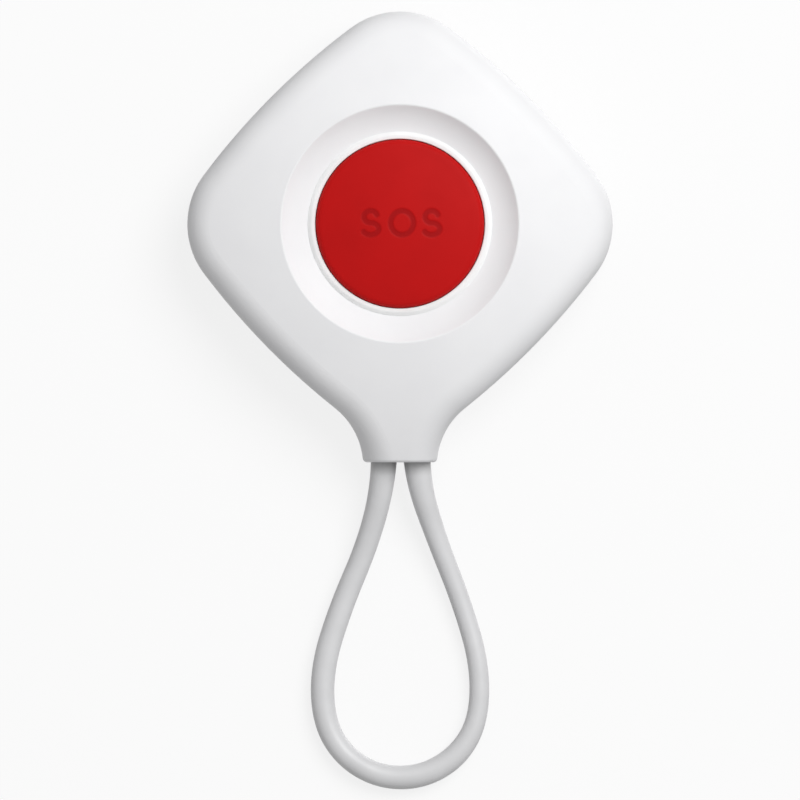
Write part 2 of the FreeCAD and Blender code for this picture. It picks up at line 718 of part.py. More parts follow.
def button_cap():
    """Push cap: domed plate, skirt with a retaining flange, middle post and cross ribs underneath."""
    body = new_body("button_cap")
    inner = f"({CAP_RADIUS} - cap_skirt)"
    flange = f"({CAP_RADIUS} + cap_flange_width)"
    dome_radius = f"(({CAP_RADIUS} ^ 2 + cap_dome ^ 2) / (2 * cap_dome))"
    corners = [
        ("0", PLUNGER_TOP), ("cap_post_radius", PLUNGER_TOP), ("cap_post_radius", CAP_UNDER),
        (inner, CAP_UNDER), (inner, CAP_FLANGE_UNDER), (flange, CAP_FLANGE_UNDER),
        (flange, CAP_FLANGE_TOP), (CAP_RADIUS, CAP_FLANGE_TOP), (CAP_RADIUS, CAP_RIM), ("0", CAP_TOP),
    ]
    dome = {8: ("0", f"{CAP_TOP} - {dome_radius}", False)}
    turned(body, closed_profile(new_sketch(body, "cap_section", "XZ_Plane"), corners, dome),
           "Revolution", "cap_turned")
    soften(body, "cap_round", "cap_rim", lambda edge: circle_at(edge, worth(CAP_RIM), worth(CAP_RADIUS)))
    rib = box_profile(new_sketch(body, "cap_rib", "XY_Plane", f"{CAP_UNDER} - cap_rib_height"),
                      f"-({inner} + cap_skirt / 2)", f"{inner} + cap_skirt / 2",
                      "-cap_rib_thickness / 2", "cap_rib_thickness / 2")
    rib_pad = pad(body, rib, "cap_rib_height + cap_plate / 3", "cap_rib_pad")
    ribs = around(body, [rib_pad], RIBS, "cap_ribs")
    ribs.Angle = FULL_TURN / 2
    return body


def battery_door():
    """Round door: plate with a coin slot and an O-ring groove, skirt, three bayonet lugs."""
    body = new_body("battery_door")
    inner = f"({SKIRT_RADIUS} - skirt_thickness)"
    corners = [("0", "door_recess"), (DOOR_RADIUS, "door_recess"), (DOOR_RADIUS, DOOR_INNER),
               (SKIRT_RADIUS, DOOR_INNER), (SKIRT_RADIUS, SKIRT_TOP), (inner, SKIRT_TOP),
               (inner, DOOR_INNER), ("0", DOOR_INNER)]
    turned(body, closed_profile(new_sketch(body, "door_section", "XZ_Plane"), corners), "Revolution", "door")
    soften(body, "door_bevel", "door_rim_edge",
           lambda edge: circle_at(edge, SIZES["door_recess"], worth(DOOR_RADIUS)), "Chamfer")
    lug_box = (f"{inner} + skirt_thickness / 2", LUG_RADIUS, LUG_BASE, LUG_TOP)
    around(body, [sector(body, "Revolution", "lug", lug_box, "lug_angle")], LUGS, "lugs")
    half = "(oring_section + oring_fit)"
    groove = box_profile(new_sketch(body, "oring_groove", "XZ_Plane"), f"{ORING_RADIUS} - {half}",
                         f"{ORING_RADIUS} + {half}", f"{RECESS_TOP} - 2 * {half}", f"{DOOR_INNER} + {CLEAR}")
    turned(body, groove, "Groove", "oring_groove_cut")
    slot = box_profile(new_sketch(body, "coin_slot", "XY_Plane"), "-slot_length / 2", "slot_length / 2",
                       "-slot_width / 2", "slot_width / 2")
    cut(body, slot, "door_recess + slot_depth", "coin_slot_cut", True)
    return body


def door_seal():
    """O-ring that lies in the groove of the door and touches the recess."""
    ring = doc.addObject("Part::Torus", "door_seal")
    ring.Label = "door_seal"
    bind(ring, "Radius1", ORING_RADIUS)
    bind(ring, "Radius2", "oring_section")
    bind(ring, "Placement.Base.z", f"{RECESS_TOP} - oring_fit - oring_section")
    return ring


def coin_cell():
    """Lithium cell: can with its raised smaller face towards the board."""
    body = new_body("coin_cell")
    step = f"({CELL_TOP} - cell_step)"
    corners = [("0", CELL_BASE), ("cell_radius", CELL_BASE), ("cell_radius", step),
               ("cell_cap_radius", step), ("cell_cap_radius", CELL_TOP), ("0", CELL_TOP)]
    turned(body, closed_profile(new_sketch(body, "cell_section", "XZ_Plane"), corners), "Revolution", "cell")
    soften(body, "cell_round", "cell_edges",
           lambda edge: circle_at(edge, worth(CELL_BASE), SIZES["cell_radius"])
           or circle_at(edge, worth(CELL_TOP), SIZES["cell_cap_radius"]))
    return body


def battery_holder():
    """Ring under the board that centres the cell, open where the side contact passes."""
    body = new_body("battery_holder")
    inner = "(cell_radius + holder_gap)"
    ring = box_profile(new_sketch(body, "holder_section", "XZ_Plane"), inner, f"{inner} + holder_wall",
                       HOLDER_UNDER, BOARD_UNDER)
    turned(body, ring, "Revolution", "holder_ring")
    half = "(contact_width / 2 + contact_gap)"
    gap = box_profile(new_sketch(body, "contact_gap", "XY_Plane", BOARD_UNDER),
                      "0", f"{inner} + 2 * holder_wall", f"-{half}", half)
    cut(body, gap, f"{BOARD_UNDER} - ({HOLDER_UNDER})", "contact_gap_cut")
    return body


def battery_contact_plus():
    """Bent strip under the board that presses on the side of the can."""
    body = new_body("battery_contact_plus")
    foot = f"({BOARD_UNDER} - contact_strip)"
    low = f"({CELL_TOP} - contact_reach)"
    strip = "cell_radius + contact_strip"
    far = "cell_radius + contact_foot"
    corners = [("cell_radius", low), (strip, low), (strip, foot), (far, foot), (far, BOARD_UNDER),
               ("cell_radius", BOARD_UNDER)]
    section = closed_profile(new_sketch(body, "plus_section", "XZ_Plane"), corners)
    pad(body, section, "contact_width", "plus_strip", True)
    return body


def battery_contact_minus():
    """Cranked leaf from the board down to the small face of the cell."""
    body = new_body("battery_contact_minus")
    near = "(contact_arm / 2)"
    far = f"({near} + contact_foot)"
    foot = f"({BOARD_UNDER} - contact_strip)"
    touch = f"({CELL_TOP} + contact_strip)"
    corners = [(f"-{far}", foot), (f"-{near}", foot), (near, CELL_TOP), (far, CELL_TOP), (far, touch),
               (near, touch), (f"-{near}", BOARD_UNDER), (f"-{far}", BOARD_UNDER)]
    section = closed_profile(new_sketch(body, "minus_section", "XZ_Plane"), corners)
    pad(body, section, "contact_width", "minus_leaf", True)
    return body


def circuit_board():
    """Eight-sided board with holes for the locating pins."""
    body = new_body("circuit_board")
    half = BOARD_HALF
    short = f"({BOARD_SIDE} * sqrt(2) - {half})"
    corners = [(half, f"-{short}"), (half, short), (short, half), (f"-{short}", half), (f"-{half}", short),
               (f"-{half}", f"-{short}"), (f"-{short}", f"-{half}"), (short, f"-{half}")]
    pad(body, closed_profile(new_sketch(body, "board_outline", "XY_Plane", BOARD_UNDER), corners),
        "board_thickness", "board_pad")
    soften(body, "board_round", "board_corners",
           lambda edge: edge.BoundBox.ZLength > SIZES["board_thickness"] - TIGHT)
    hole = circle_profile(new_sketch(body, "pin_hole", "XY_Plane", BOARD_TOP), POST_PLACE, POST_PLACE,
                          "pin_radius + pin_fit")
    around(body, [cut(body, hole, "board_thickness", "pin_hole_cut")], CORNERS, "pin_holes")
    return body


def switch_body():
    """Tactile switch: square base with bevelled corners, four rivet heads, and a bore for its stem."""
    body = new_body("switch_body")
    half = "switch_side / 2"
    base = box_profile(new_sketch(body, "switch_base", "XY_Plane", BOARD_TOP),
                       f"-{half}", half, f"-{half}", half)
    pad(body, base, "switch_height", "switch_block")
    soften(body, "switch_corner", "switch_corners",
           lambda edge: edge.BoundBox.ZLength > SIZES["switch_height"] - TIGHT, "Chamfer")
    rivet = circle_profile(new_sketch(body, "rivet", "XY_Plane", SWITCH_TOP), "rivet_place", "rivet_place",
                           "rivet_radius")
    around(body, [pad(body, rivet, "rivet_height", "rivet_pad")], CORNERS, "rivets")
    bore = circle_profile(new_sketch(body, "stem_bore", "XY_Plane", SWITCH_TOP), "0", "0",
                          "plunger_radius + plunger_fit")
    cut(body, bore, "plunger_depth + cap_travel + plunger_fit", "stem_bore_cut")
    return body


def switch_plunger():
    """Stem of the tactile switch, which stands under the cap's post."""
    stem = doc.addObject("Part::Cylinder", "switch_plunger")
    stem.Label = "switch_plunger"
    bind(stem, "Radius", "plunger_radius")
    bind(stem, "Height", "plunger_proud + plunger_depth")
    bind(stem, "Placement.Base.z", f"{SWITCH_TOP} - plunger_depth")
    return stem


def component(name, across, up, length, width, height):
    """Small block soldered to the top of the board, with its upper edges bevelled."""
    body = new_body(name)
    outline = box_profile(new_sketch(body, f"{name}_outline", "XY_Plane", BOARD_TOP),
                          f"{across} - {length} / 2", f"{across} + {length} / 2",
                          f"{up} - {width} / 2", f"{up} + {width} / 2")
    pad(body, outline, height, f"{name}_block")
    soften(body, "component_edge", f"{name}_edges",
           lambda edge: flat_at(edge, worth(f"{BOARD_TOP} + {height}")), "Chamfer")
    return body


def antenna():
    """Stamped strip that stands on the board like a low bridge."""
    body = new_body("antenna")
    half = "(antenna_span / 2)"
    leg = f"({half} - antenna_strip)"
    under = f"({ANTENNA_TOP} - antenna_strip)"
    corners = [(f"-{half}", BOARD_TOP), (f"-{leg}", BOARD_TOP), (f"-{leg}", under), (leg, under),
               (leg, BOARD_TOP), (half, BOARD_TOP), (half, ANTENNA_TOP), (f"-{half}", ANTENNA_TOP)]
    section = closed_profile(new_sketch(body, "antenna_section", "XZ_Plane", ANTENNA_PLACE), corners)
    pad(body, section, "antenna_width", "antenna_strip_pad", True)
    return body


def case_screws():
    """Four screws with a cross recess, put in from the back."""
    body = new_body("case_screws")
    head = circle_profile(new_sketch(body, "screw_head", "XY_Plane", "screw_head_sink"),
                          "screw_place", "0", "screw_head_radius")
    head_pad = pad(body, head, "screw_head_height", "screw_head_pad")
    shank = circle_profile(new_sketch(body, "screw_shank", "XY_Plane", HEAD_TOP),
                           "screw_place", "0", "screw_shank_radius")
    shank_pad = pad(body, shank, "screw_length", "screw_shank_pad")
    slots = []
    for name, long_half, short_half in (("lengthwise", "screw_slot_length / 2", "screw_slot_width / 2"),
                                        ("crosswise", "screw_slot_width / 2", "screw_slot_length / 2")):
        slot = box_profile(new_sketch(body, f"{name}_slot", "XY_Plane", "screw_head_sink"),
                           f"screw_place - {long_half}", f"screw_place + {long_half}",
                           f"-{short_half}", short_half)
        slots.append(cut(body, slot, "screw_slot_depth", f"{name}_slot_cut", True))
    around(body, [head_pad, shank_pad, *slots], CORNERS, "screws")
    return body


def strap_anchor():
    """Block in the neck that both ends of the strap are moulded into."""
    body = new_body("strap_anchor")
    outline = box_profile(new_sketch(body, "anchor_outline", "XY_Plane", f"parting_height - {ANCHOR_RISE}"),
                          f"-{ANCHOR_REACH}", ANCHOR_REACH, f"-{ANCHOR_END}", f"-{ANCHOR_START}")
    pad(body, outline, f"2 * {ANCHOR_RISE}", "anchor_block")
    soften(body, "anchor_round", "anchor_edges",
           lambda edge: edge.BoundBox.YLength > SIZES["anchor_length"] - TIGHT)
    return body


def strap_points():
    """Route of the strap from one end in the neck, round the loop, to the other."""
    side = SIZES["leg_place"]
    level = SIZES["parting_height"]
    start = -worth(ANCHOR_END)
    lying = SIZES["strap_radius"]
    ends = [(start, level), (start - LEG_STRAIGHT, level)]
    heights = [lying + LEG_LANDING] + [lying] * (len(LEFT_LEG) - 1)
    left = [(-side, *end) for end in ends] + [(*spot, height) for spot, height in zip(LEFT_LEG, heights)]
    right = [(side, *end) for end in ends] + [(*spot, height) for spot, height in zip(RIGHT_LEG, heights)]
    return [FreeCAD.Vector(*point) for point in left + right[::-1]]


def strap_loop():
    """Round strap swept along straight runs that are joined by arcs as large as the runs allow."""
    points = strap_points()
    edges = []
    radii = []
    here = points[0]
    for before, corner, after in zip(points, points[1:], points[2:]):
        incoming = (corner - before).normalize()
        outgoing = (after - corner).normalize()
        half_turn = incoming.getAngle(outgoing) / 2
        setback = BEND_SHARE * min(corner.distanceToPoint(before), corner.distanceToPoint(after))
        radius = setback / math.tan(half_turn)
        first = corner - incoming * setback
        last = corner + outgoing * setback
        inward = (outgoing - incoming).normalize()
        middle = corner + inward * (radius / math.cos(half_turn) - radius)
        edges += [Part.LineSegment(here, first).toShape(), Part.Arc(first, middle, last).toShape()]
        radii.append(round(radius, 1))
        here = last
    edges.append(Part.LineSegment(here, points[-1]).toShape())
    path = Part.Wire(edges)
    ring = Part.Wire(Part.makeCircle(SIZES["strap_radius"], points[0], points[1] - points[0]))
    strap = doc.addObject("Part::Feature", "strap_loop")
    strap.Label = "strap_loop"
    strap.Shape = path.makePipeShell([ring], True, True)
    share = strap.Shape.Volume / (math.pi * SIZES["strap_radius"] ** 2 * path.Length)
    print("strap: length", round(path.Length, 1), "bend radii", radii, "volume over section times length",
          round(share, 4))
    return strap


def build():
    parts = [
        front_cover(), rear_cover(), case_seal(), light_ring(), button_cap(), battery_door(), door_seal(),
        coin_cell(), battery_holder(), battery_contact_plus(), battery_contact_minus(), circuit_board(),
        switch_body(), switch_plunger(), antenna(), case_screws(), strap_anchor(), strap_loop(),
        component("controller_chip", "-chip_place", "-chip_place", "chip_side", "chip_side", "chip_height"),
        component("crystal", "chip_place", "-chip_place", "crystal_length", "crystal_width",
                  "crystal_height"),
        component("radio_module", "0", MODULE_PLACE, "module_length", MODULE_WIDTH, MODULE_HEIGHT),
        component("reservoir_capacitor", "capacitor_place", "capacitor_side_place", "capacitor_width",
                  "capacitor_length", "capacitor_height"),
        component("status_led_red", f"-{LED_PLACE}", "0", "led_width", "led_length", "led_height"),
        component("status_led_green", LED_PLACE, "0", "led_width", "led_length", "led_height"),
    ]
    doc.recompute()
    return parts


def check(parts):
    failed = [item.Name for item in doc.Objects if {"Invalid", "Error"} & set(item.State)]
    failed += [item.Label for item in parts if item.Shape.isNull() or not item.Shape.isValid()]
    if failed:
        raise RuntimeError(f"not built: {failed}")


parts = build()
check(parts)
os.makedirs("parts", exist_ok=True)
for item in parts:
    item.Shape.exportStep(f"parts/{item.Label}.step")
    print(item.Label, len(item.Shape.Solids), "solid, volume", round(item.Shape.Volume, 1))
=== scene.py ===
import json
import math

import bpy
import numpy as np
from bpy.props import FloatProperty, FloatVectorProperty, PointerProperty
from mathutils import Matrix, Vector


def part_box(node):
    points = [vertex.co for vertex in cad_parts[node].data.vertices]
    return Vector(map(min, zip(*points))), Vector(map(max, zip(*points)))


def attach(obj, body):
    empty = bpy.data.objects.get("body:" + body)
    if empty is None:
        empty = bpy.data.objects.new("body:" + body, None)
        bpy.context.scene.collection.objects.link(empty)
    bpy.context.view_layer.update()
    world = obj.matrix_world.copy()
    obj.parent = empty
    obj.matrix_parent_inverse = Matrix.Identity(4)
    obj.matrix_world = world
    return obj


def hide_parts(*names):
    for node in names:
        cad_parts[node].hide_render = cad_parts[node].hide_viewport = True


bl_info = {
    "name": "Panic Button",
    "version": (1, 0, 0),
    "blender": (4, 5, 0),
    "location": "3D Viewport > Sidebar > Panic Button",
    "description": "Finishes, engraved cap, strap and studio for a pendant panic button",
    "category": "Object",
}

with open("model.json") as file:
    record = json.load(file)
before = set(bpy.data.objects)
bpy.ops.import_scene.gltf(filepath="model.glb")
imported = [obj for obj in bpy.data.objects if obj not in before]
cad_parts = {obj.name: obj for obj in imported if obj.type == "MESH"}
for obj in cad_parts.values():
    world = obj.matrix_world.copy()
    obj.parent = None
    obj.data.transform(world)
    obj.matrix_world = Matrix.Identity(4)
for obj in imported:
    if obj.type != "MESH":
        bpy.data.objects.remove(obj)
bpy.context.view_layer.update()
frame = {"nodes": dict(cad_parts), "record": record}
NODES = frame["nodes"]
SLOTS = {part["node"]: part["material_slot"] for part in frame["record"]["subparts"]}
PAINTS = {paint["slot"]: paint["base_color"] for paint in frame["record"]["materials"]}

MM = 0.001
FULL_TURN = 2 * math.pi
WHITE = (1.0, 1.0, 1.0, 1.0)

PARTING_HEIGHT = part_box("front_cover")[0].z
CAP_LOW, CAP_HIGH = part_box("button_cap")
STEM_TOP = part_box("switch_plunger")[1].z

# How deep the outer faces of the screws and of the door reach; what lies deeper gets painted shade, a darker
# tone.
SCREW_FACE = 0.08 * MM
DOOR_FACE = 0.3 * MM

# Route of the strap from the left end in the neck, round the loop, to the right end, in millimetres, and
# how thick it is at each point beside its own diameter.
STRAP_ROUTE = [
    (-2.13, -30.6, 4.8, 1.11), (-2.2, -34.4, 4.8, 1.02), (-4.2, -42.4, 2.3, 0.93),
    (-7.95, -51.2, 1.57, 0.98), (-10.45, -59.3, 1.6, 1.0), (-10.25, -66.4, 1.56, 0.97),
    (-7.48, -71.2, 1.52, 0.95), (-2.67, -73.95, 1.57, 0.98), (2.87, -73.95, 1.6, 1.0),
    (7.68, -71.2, 1.56, 0.97), (10.5, -66.4, 1.35, 0.84), (10.72, -59.0, 1.32, 0.82),
    (8.25, -50.5, 1.32, 0.82), (4.87, -42.0, 2.2, 0.85), (2.4, -34.4, 4.8, 1.04),
    (2.23, -30.6, 4.8, 1.16),
]
STRAP_EXIT = (-2.13 * MM, -31.75 * MM, 4.8 * MM)

# Where the word stands on the cap, how far right of its middle the round letter stands, and how wide the
# round letter and the bowls of the others are beside half the letters' height.
WORD_PLACE = (0.13 * MM, 0.08 * MM)
ROUND_SHIFT = 0.13 * MM
ROUND_LETTER = 0.95
UPPER_BOWL = 0.55
LOWER_BOWL = 0.67

# How far from the middle of the cap its mesh is fine enough for letters, and the number of its rings in
# there, from there to the rim and round the rim.
LETTERED_REACH = 6.5 * MM
LETTERED_RINGS, SLOPE_RINGS, RIM_RINGS = 90, 10, 9
CAP_SECTORS = 432

SHARP_ANGLE = math.radians(55)

# The floor lies a little under the flat back, so that the two faces don't coincide.
FLOOR_DROP = 0.05 * MM
FLOOR_REACH = 3.0

# Heights in the sky, from -1 straight below to 1 straight above, between which the ground's light goes
# over into the sky's.
GROUND_END, SKY_START = -0.3, 0.05


def srgb(*values):
    """Linear colour with alpha from the values as they look on a screen."""
    return tuple(v / 12.92 if v <= 0.04045 else ((v + 0.055) / 1.055) ** 2.4 for v in values) + (1.0,)


def colour_setting(title, told, value):
    return FloatVectorProperty(name=title, description=told, subtype="COLOR_GAMMA", default=value,
                               min=0, max=1)


def length_setting(title, told, millimetres):
    return FloatProperty(name=title, description=told, default=millimetres * MM, min=0, unit="LENGTH")


class HousingSettings(bpy.types.PropertyGroup):
    """Finish of the two moulded housings and the battery door."""

    colour: colour_setting("Plastic", "Colour of the white housings", (0.93, 0.93, 0.935))
    shade: colour_setting("Clouding", "Slightly darker tone that clouds the plastic", (0.92, 0.92, 0.926))
    seam_colour: colour_setting("Seam Colour", "Colour of the line where the housings meet",
                                (0.55, 0.55, 0.56))
    seam: length_setting("Seam", "Width of the line where the housings meet", 0.12)
    # Painted shade: a darker tone laid in the coin slot and on the door's edge, where shade falls.
    slot_colour: colour_setting("Slot Shade", "Painted shade in the door's coin slot and down its edge", (0.7, 0.7, 0.7))
    roughness: FloatProperty(name="Roughness", description="Mean roughness of the plastic", default=0.45,
                             min=0, max=1)
    gloss: FloatProperty(name="Gloss", description="Strength of the plastic's reflection", default=0.12,
                         min=0, max=1)


class CapSettings(bpy.types.PropertyGroup):
    """Shape and finish of the red push cap."""

    radius: length_setting("Radius", "Radius of the cap's wall", 11.2)
    dome: length_setting("Dome", "Rise of the domed top", 0.95)
    rounding: length_setting("Rounding", "Radius of the rim", 0.9)
    plate: length_setting("Plate", "Thickness of the cap in its middle", 1.5)
    skirt: length_setting("Skirt", "Thickness of the wall round the cap", 1.2)
    flange: length_setting("Flange", "Height of the flange that holds the cap in", 0.8)
    post: length_setting("Post", "Radius of the post over the switch", 1.9)
    rib_width: length_setting("Rib Width", "Thickness of the ribs under the plate", 0.8)
    rib_height: length_setting("Rib Height", "How far the ribs stand off the plate", 0.9)
    letter_height: length_setting("Letter Height", "Height of the letters", 3.9)
    letter_spacing: length_setting("Letter Spacing", "Distance from letter to letter", 4.06)
    letter_depth: length_setting("Letter Depth", "How deep the letters are pressed in", 0.065)
    letter_edge: length_setting("Letter Edge", "Width of the soft edge of a letter", 0.34)
    stroke: length_setting("Stroke", "Width of the letters' strokes", 0.72)
    colour: colour_setting("Plastic", "Colour of the cap", (0.735, 0.08, 0.08))
    engraved: colour_setting("Letters", "Colour in the pressed letters", (0.63, 0.065, 0.075))
    roughness: FloatProperty(name="Roughness", description="Mean roughness of the cap", default=0.5,
                             min=0, max=1)
    gloss: FloatProperty(name="Gloss", description="Strength of the cap's reflection", default=0.06,
                         min=0, max=1)


class CollarSettings(bpy.types.PropertyGroup):
    """Shape of the milky collar round the cap."""

    bore: length_setting("Bore", "Radius of the opening round the cap", 11.27)
    radius: length_setting("Radius", "Radius of the collar's wall", 12.245)
    rounding: length_setting("Inner Rounding", "Radius of the lip beside the cap", 0.15)
    slope: length_setting("Slope", "Width of the soft outer side of the lip", 0.56)
    drop: length_setting("Drop", "How far the outer side of the lip falls", 0.28)
    flange: length_setting("Flange", "Height of the flange under the dish", 1.0)


class StrapSettings(bpy.types.PropertyGroup):
    """Thickness and finish of the strap."""

    diameter: length_setting("Diameter", "Thickness of the round strap", 3.2)
    colour: colour_setting("Rubber", "Colour of the strap", (0.835, 0.835, 0.84))
    # Painted shade: a greyer tone on the strap just out of the neck, standing in for the neck's shadow on it.
    dirt: colour_setting("Neck Shade", "Painted shade where the strap comes out of the neck", (0.66, 0.66, 0.66))
    dirt_reach: length_setting("Dirt Reach", "How far out of the neck the greyer tone fades", 1.8)
    roughness: FloatProperty(name="Roughness", description="Mean roughness of the strap", default=0.4,
                             min=0, max=1)


class StageSettings(bpy.types.PropertyGroup):
    """Camera, lamps, sky and floor."""

    view_span: length_setting("View", "Width that the camera takes in", 106.667)
    view_middle: FloatProperty(name="View Middle", description="Place of the view's middle along Y",
                               default=-23.44 * MM, unit="LENGTH")
    focus_height: length_setting("Focus Height", "Height at which the view has its width", 8.0)
    lens: FloatProperty(name="Lens", description="Focal length", default=600.0, unit="CAMERA")
    lamp_turn: FloatProperty(name="Lamp Turn", description="Direction of the lamp, from +X towards +Y",
                             default=math.radians(45), unit="ROTATION")
    lamp_rise: FloatProperty(name="Lamp Rise", description="Height of the lamp above the horizon",
                             default=math.radians(55), unit="ROTATION")
    lamp_reach: FloatProperty(name="Lamp Reach", description="Distance of the lamp", default=0.7,
                              unit="LENGTH")
    lamp_size: FloatProperty(name="Lamp Size", description="Diameter of the lamp", default=0.5, unit="LENGTH")
    lamp_power: FloatProperty(name="Lamp Power", description="Power of the lamp", default=3.7, unit="POWER")
    fill_power: FloatProperty(name="Fill Power", description="Power of the lamp that lights the back",
                              default=2.4, unit="POWER")
    sky: FloatProperty(name="Sky", description="Strength of the light from above", default=0.45, min=0)
    ground: FloatProperty(name="Ground", description="Strength of the light that comes back from below",
                          default=0.2, min=0)
    floor_glow: FloatProperty(name="Floor Glow", description="Share of plain white that is seen in the floor",
                              default=0.8, min=0, max=1)


def add(tree, kind, settings=None, **values):
    """New shader node with its settings and the values of its sockets."""
    made = tree.nodes.new(kind)
    for name, value in (settings or {}).items():
        setattr(made, name, value)
    for name, value in values.items():
        made.inputs[name.replace("_", " ")].default_value = value
    return made


def feed(tree, socket, source):
    """Link a socket to another, or give it a plain value."""
    if isinstance(source, bpy.types.NodeSocket):
        tree.links.new(source, socket)
    else:
        socket.default_value = source


def calculate(tree, operation, *sources):
    """Result of a Math node; each source is a socket or a number."""
    made = add(tree, "ShaderNodeMath", {"operation": operation})
    for socket, source in zip(made.inputs, sources):
        feed(tree, socket, source)
    return made.outputs[0]


def colour_mix(tree, factor, under, over):
    """Colour that goes from one to the other as the factor rises; each is a socket or a colour."""
    made = add(tree, "ShaderNodeMix", {"data_type": "RGBA"})
    tree.links.new(factor, made.inputs["Factor"])
    sockets = [socket for socket in made.inputs if socket.type == "RGBA"]
    for socket, source in zip(sockets, (under, over)):
        feed(tree, socket, source)
    return [socket for socket in made.outputs if socket.type == "RGBA"][0]


def shader_mix(tree, factor, under, over):
    made = add(tree, "ShaderNodeMixShader")
    feed(tree, made.inputs[0], factor)
    tree.links.new(under.outputs[0], made.inputs[1])
    tree.links.new(over.outputs[0], made.inputs[2])
    return made


def spread(tree, source, low, high, low_value=0.0, high_value=1.0):
    """Map a socket's range from low to high onto two values, each a socket or a number."""
    made = add(tree, "ShaderNodeMapRange", From_Min=low, From_Max=high)
    tree.links.new(source, made.inputs["Value"])
    feed(tree, made.inputs["To Min"], low_value)
    feed(tree, made.inputs["To Max"], high_value)
    return made.outputs["Result"]


def new_group(name, inputs, outputs):
    """Empty shader node group with its two ends; inputs gives each input's starting value."""
    tree = bpy.data.node_groups.new(name, "ShaderNodeTree")
    for title, value in inputs.items():
        socket = tree.interface.new_socket(title, in_out="INPUT", socket_type="NodeSocketFloat")
        socket.default_value = value
    for title in outputs:
        tree.interface.new_socket(title, in_out="OUTPUT", socket_type="NodeSocketFloat")
    return tree, tree.nodes.new("NodeGroupInput").outputs, tree.nodes.new("NodeGroupOutput").inputs


def noise_of_size(tree, places, size, detail):
    """Noise whose blobs are about as large as the size socket says, in metres."""
    noise = add(tree, "ShaderNodeTexNoise", Detail=detail, Roughness=0.55)
    tree.links.new(places, noise.inputs["Vector"])
    tree.links.new(calculate(tree, "DIVIDE", 1.0, size), noise.inputs["Scale"])
    return noise.outputs["Fac"]


def moulded_surface():
    """Fine mould texture under broad soft clouding, as a height, a tone and a roughness."""
    tree, given, put = new_group(
        "moulded_surface",
        {"Grain Size": 0.3 * MM, "Cloud Size": 9 * MM, "Rough Low": 0.3, "Rough High": 0.4},
        ["Height", "Tone", "Roughness"])
    places = add(tree, "ShaderNodeTexCoord").outputs["Object"]
    clouds = noise_of_size(tree, places, given["Cloud Size"], 3.0)
    tone = spread(tree, clouds, 0.35, 0.65)
    tree.links.new(noise_of_size(tree, places, given["Grain Size"], 2.0), put["Height"])
    tree.links.new(tone, put["Tone"])
    tree.links.new(spread(tree, tone, 0.0, 1.0, given["Rough Low"], given["Rough High"]), put["Roughness"])
    return tree


def drawn_metal():
    """Fine lines along X as drawn or stamped metal has, as a height, a tone and a roughness."""
    tree, given, put = new_group(
        "drawn_metal", {"Line Size": 0.15 * MM, "Stretch": 25.0, "Rough Low": 0.22, "Rough High": 0.4},
        ["Height", "Tone", "Roughness"])
    squeeze = add(tree, "ShaderNodeCombineXYZ", Y=1.0, Z=1.0)
    tree.links.new(calculate(tree, "DIVIDE", 1.0, given["Stretch"]), squeeze.inputs["X"])
    drawn = add(tree, "ShaderNodeVectorMath", {"operation": "MULTIPLY"})
    tree.links.new(add(tree, "ShaderNodeTexCoord").outputs["Object"], drawn.inputs[0])
    tree.links.new(squeeze.outputs[0], drawn.inputs[1])
    lines = noise_of_size(tree, drawn.outputs[0], given["Line Size"], 3.0)
    tree.links.new(lines, put["Height"])
    tree.links.new(lines, put["Tone"])
    tree.links.new(spread(tree, lines, 0.3, 0.7, given["Rough Low"], given["Rough High"]), put["Roughness"])
    return tree


def finish(name, maker, light, dark, bump, sizes, **shader):
    """Material whose colour, roughness and bump come from a shared surface group.

    Gives the material and its colour socket, for a piece that lays more over it.
    """
    made = bpy.data.materials.new(name)
    made.use_nodes = True
    tree = made.node_tree
    principled = tree.nodes["Principled BSDF"]
    for socket, value in shader.items():
        principled.inputs[socket.replace("_", " ")].default_value = value
    group = bpy.data.node_groups.get(maker.__name__) or maker()
    surface = add(tree, "ShaderNodeGroup", {"node_tree": group}, **sizes)
    colour = colour_mix(tree, surface.outputs["Tone"], light, dark)
    relief = add(tree, "ShaderNodeBump", Distance=bump)
    tree.links.new(colour, principled.inputs["Base Color"])
    tree.links.new(surface.outputs["Roughness"], principled.inputs["Roughness"])
    tree.links.new(surface.outputs["Height"], relief.inputs["Height"])
    tree.links.new(relief.outputs["Normal"], principled.inputs["Normal"])
    return made, colour


def moulded(name, light, dark, roughness=0.35, gloss=0.5, bump=0.004 * MM, **sizes):
    """Moulded plastic or rubber, a little rougher where its tone is darker."""
    sizes.update(Rough_Low=roughness - 0.04, Rough_High=roughness + 0.04)
    return finish(name, moulded_surface, light, dark, bump, sizes, Specular_IOR_Level=gloss)


def metal(name, light, dark, bump=0.002 * MM, **sizes):
    return finish(name, drawn_metal, light, dark, bump, sizes, Metallic=1.0)


def overlay(material, mask, colour, under):
    """Lay a second colour over a material's own where the mask says."""
    tree = material.node_tree
    tree.links.new(colour_mix(tree, mask, under, colour), tree.nodes["Principled BSDF"].inputs["Base Color"])


def paint(material, *names):
    """Give CAD nodes their material."""
    for name in names:
        piece = NODES[name]
        piece.data.materials.clear()
        piece.data.materials.append(material)


def paint_colours(slot, share):
    """The record's colour of a slot and the same dimmed to a share, as linear colours."""
    return srgb(*PAINTS[slot]), srgb(*(value * share for value in PAINTS[slot]))


def as_mesh(name, points, faces):
    """Mesh object in the scene from points and faces, shaded smooth apart from its hard corners."""
    mesh = bpy.data.meshes.new(name)
    mesh.from_pydata([tuple(point) for point in points], [], faces)
    mesh.update()
    mesh.polygons.foreach_set("use_smooth", [True] * len(mesh.polygons))
    mesh.set_sharp_from_angle(angle=SHARP_ANGLE)
    return in_scene(name, mesh)


def in_scene(name, data):
    piece = bpy.data.objects.new(name, data)
    bpy.context.scene.collection.objects.link(piece)
    return piece


def band(first, second, sectors):
    """Faces between two rings of points, which run from the numbers first and second on."""
    sides = [(side, (side + 1) % sectors) for side in range(sectors)]
    return [(first + here, second + here, second + there, first + there) for here, there in sides]


